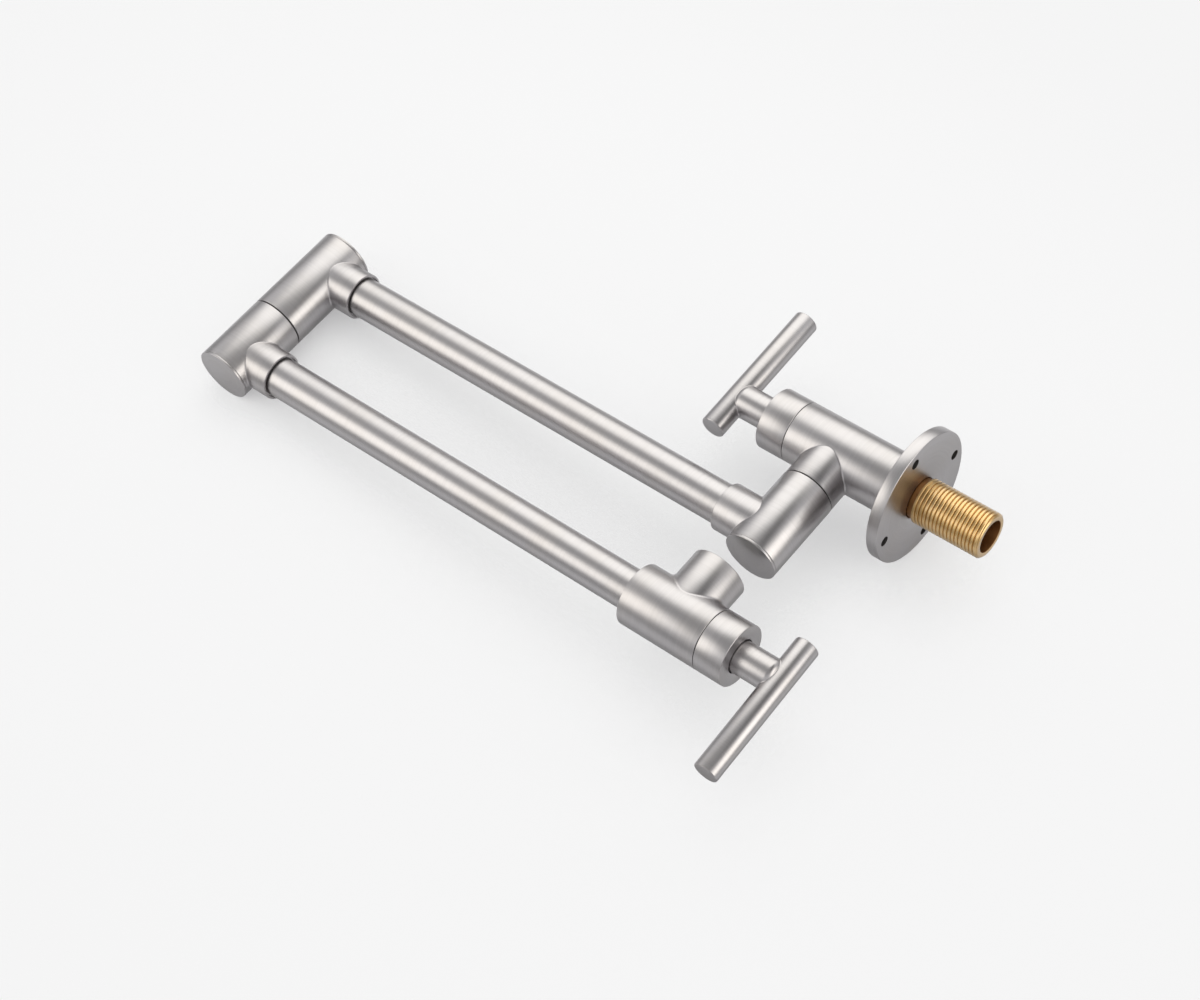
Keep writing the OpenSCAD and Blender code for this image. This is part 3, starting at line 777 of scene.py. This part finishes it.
def add_table():
    """Pale table top under the part, clear where nothing stands near it. Painted shade:
    ambient occlusion makes it opaque near the part, so the studio light's real shadow
    shows only there.
    """
    clear_selection()
    along = Vector((0, 1, 0))
    along = (along - UP * along.dot(UP)).normalized()
    centre = MIDDLE - UP * UP.dot(MIDDLE - TABLE_POINT)
    bpy.ops.mesh.primitive_plane_add(size=1.8, location=(0, 0, 0))
    table = bpy.context.object
    table.name = "table_top"
    table.matrix_world = (Matrix.Translation(centre - UP * 0.1 * MM)
                          @ Matrix((along, UP.cross(along), UP)).transposed().to_4x4())
    material = bpy.data.materials.new("table_top")
    s = Shader(material)
    x, y, z = s.split(s.node("ShaderNodeTexCoord", output="Object"))
    # Painted shade: where parts stand near, more of the lit paint shows and the table
    # darkens there.
    occlusion_for_painted_shade = s.node("ShaderNodeAmbientOcclusion", {"samples": 32},
                      {"Distance": 0.05}, "AO")
    clear = s.smooth((x * x + y * y * 2) ** 0.5, 0.2, 0.5)
    back = s.node("ShaderNodeNewGeometry", output="Backfacing")
    sheer = occlusion_for_painted_shade * (SHEER_FAR - SHEER_NEAR) + SHEER_NEAR
    sheer = sheer + (1 - sheer) * clear
    hidden = s.node("ShaderNodeMath", {"operation": "MAXIMUM"}, {0: sheer, 1: back})
    paint = s.node("ShaderNodeBsdfDiffuse", sockets={0: TABLE_TONE})
    glass = s.node("ShaderNodeBsdfTransparent")
    surface = s.node("ShaderNodeMixShader", sockets={0: hidden, 1: paint, 2: glass})
    s.node("ShaderNodeOutputMaterial", sockets={0: surface})
    table.data.materials.append(material)


def set_world():
    """Pale background, the same from every side."""
    world = bpy.data.worlds.new("backdrop")
    bpy.context.scene.world = world
    s = Shader(world)
    light = s.node("ShaderNodeBackground", sockets={0: shade(BACKDROP), 1: 1.0})
    s.node("ShaderNodeOutputWorld", sockets={0: light})


def add_room():
    """Grey tent round the table, lighter halfway up."""
    clear_selection()
    bpy.ops.mesh.primitive_ico_sphere_add(subdivisions=4, radius=ROOM_RADIUS,
                                          location=(0, 0, 0))
    room = bpy.context.object
    room.name = "studio_tent"
    material = bpy.data.materials.new("studio_tent")
    s = Shader(material)
    x, y, z = s.split(s.node("ShaderNodeTexCoord", output="Object"))
    tone = s.node("ShaderNodeValToRGB", {"stops": [
        (0.0, shade(0.25)), (0.07, shade(0.36)), (0.19, shade(0.80)),
        (0.30, shade(0.72)), (0.42, shade(0.38)), (0.495, shade(0.34)),
        (0.5, shade(0.44)), (0.75, shade(0.95)), (0.935, shade(0.44)),
        (1.0, shade(0.44))]},
        {0: z * (0.5 / ROOM_RADIUS) + 0.5})
    glow = s.node("ShaderNodeEmission", sockets={0: tone, 1: 1.0})
    s.node("ShaderNodeOutputMaterial", sockets={0: glow})
    room.data.materials.append(material)
    stand(room, Matrix.Translation(MIDDLE)
          @ Matrix((RIGHT, FAR, UP)).transposed().to_4x4())


def add_card(name, elevation, azimuth, distance, half, roll, radiance, colour):
    """Soft box or dark card that faces the part, with soft edges."""
    clear_selection()
    e, a = math.radians(elevation), math.radians(azimuth)
    out = UP * math.sin(e) + (FAR * math.cos(a) + RIGHT * math.sin(a)) * math.cos(e)
    rise = (UP - out * UP.dot(out)).normalized()
    side = rise.cross(out)
    first = side * math.cos(roll) + rise * math.sin(roll)
    second = rise * math.cos(roll) - side * math.sin(roll)
    bpy.ops.mesh.primitive_plane_add(size=2, location=(0, 0, 0))
    card = bpy.context.object
    card.name = name
    material = bpy.data.materials.new(name)
    s = Shader(material)
    x, y, z = s.split(s.node("ShaderNodeTexCoord", output="Object"))
    x, y = s.size(x), s.size(y)
    rim = 1 - (x * x * x + y * y * y) ** (1 / 3)
    shown = s.smooth(rim, 0.0, 0.65)
    glow = s.node("ShaderNodeEmission", sockets={
        0: tuple(c * radiance for c in colour) + (1,), 1: 1.0})
    glass = s.node("ShaderNodeBsdfTransparent")
    s.node("ShaderNodeOutputMaterial", sockets={
        0: s.node("ShaderNodeMixShader", sockets={0: shown, 1: glass, 2: glow})})
    card.data.materials.append(material)
    turn = Matrix((first * half[0], second * half[1], out)).transposed().to_4x4()
    stand(card, Matrix.Translation(MIDDLE + out * distance) @ turn)


add_table()
set_world()
add_room()
add_card("far_soft_box", elevation=42.6, azimuth=8.5, distance=0.985,
         half=(0.90, 0.82), roll=0.163, radiance=2.15, colour=(1.0, 0.993, 0.945))
add_card("left_soft_box", elevation=24.5, azimuth=-104.5, distance=1.534,
         half=(0.69, 0.964), roll=-0.569, radiance=2.32, colour=(1.0, 0.977, 0.915))
add_card("right_soft_box", elevation=17.1, azimuth=115.0, distance=1.804,
         half=(0.80, 1.15), roll=-1.062, radiance=2.7, colour=(1.0, 0.977, 0.915))
add_card("dark_card", elevation=55.6, azimuth=98.1, distance=0.538,
         half=(0.392, 0.121), roll=0.187, radiance=0.12, colour=(1.0, 1.0, 1.0))
